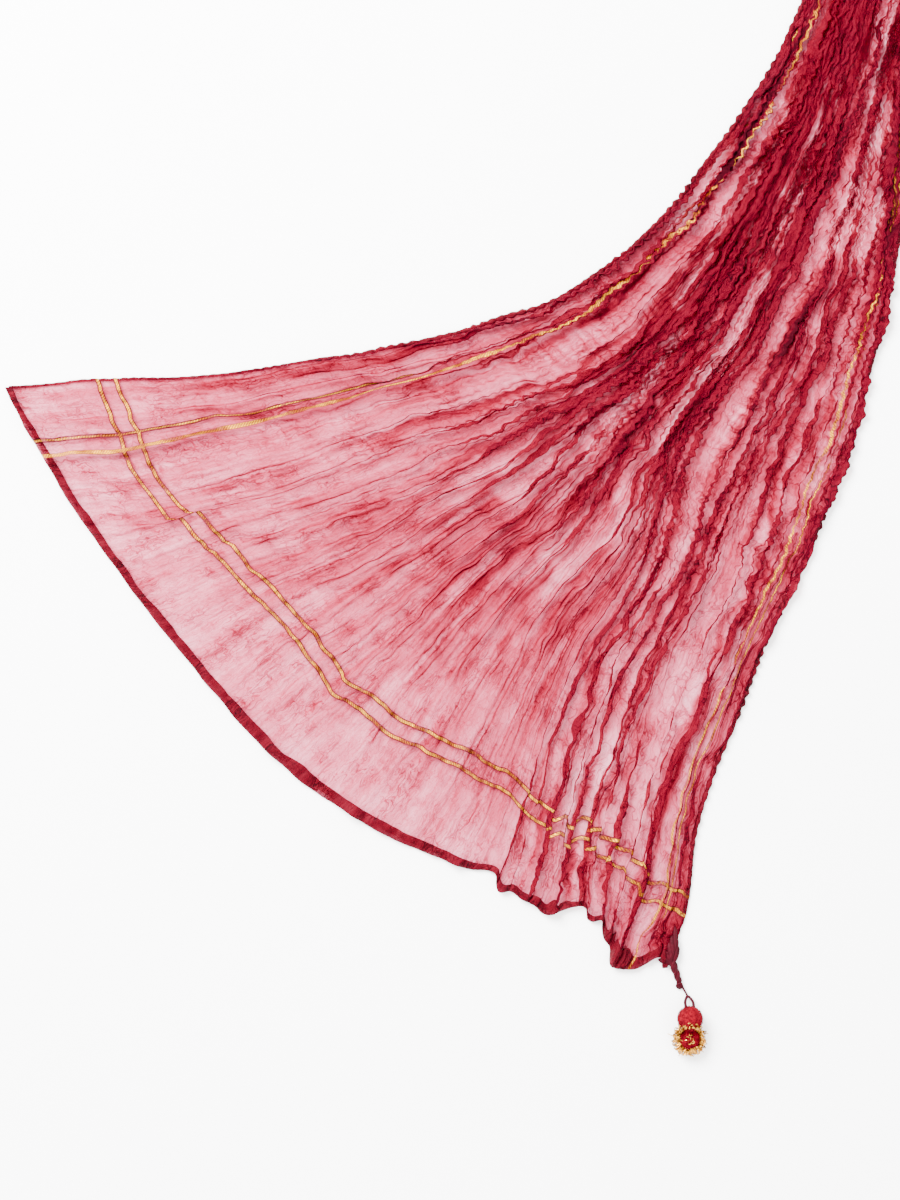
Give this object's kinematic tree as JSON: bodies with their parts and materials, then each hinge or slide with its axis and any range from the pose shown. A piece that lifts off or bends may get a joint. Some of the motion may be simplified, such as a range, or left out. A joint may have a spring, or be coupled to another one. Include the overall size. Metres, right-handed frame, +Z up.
{
  "type": "dupatta stole",
  "caption": "Sheer crinkled crimson silk dupatta laid flat, fanned at one end and gathered beyond it, with woven gold border lines and a small corner tassel.",
  "frame": {"origin": "on the surface that the cloth lies on, at the middle of the whole piece seen from above", "axes": "+Z up from the surface, +Y from the fanned end towards the far end, +X to the right seen from above"},
  "size_m": [1.2032, 2.4818, 0.0228],
  "materials": {
    "silk": "sheer crinkled silk with gold lines woven in",
    "hem": "folded and rolled silk",
    "thread": "twisted thread",
    "wool": "soft wool pile",
    "tinsel": "shiny gold metallised yarn"
  },
  "bodies": {
    "root": {"cloth_panel": "silk", "hem_near_end": "hem", "hem_far_end": "hem", "hem_left_side": "hem", "hem_right_side": "hem", "corner_tail": "hem", "tassel_thread": "thread", "tassel_loop": "thread", "tassel_ball": "wool", "tassel_fringe": "tinsel", "tassel_core": "wool"}
  },
  "joints": []
}
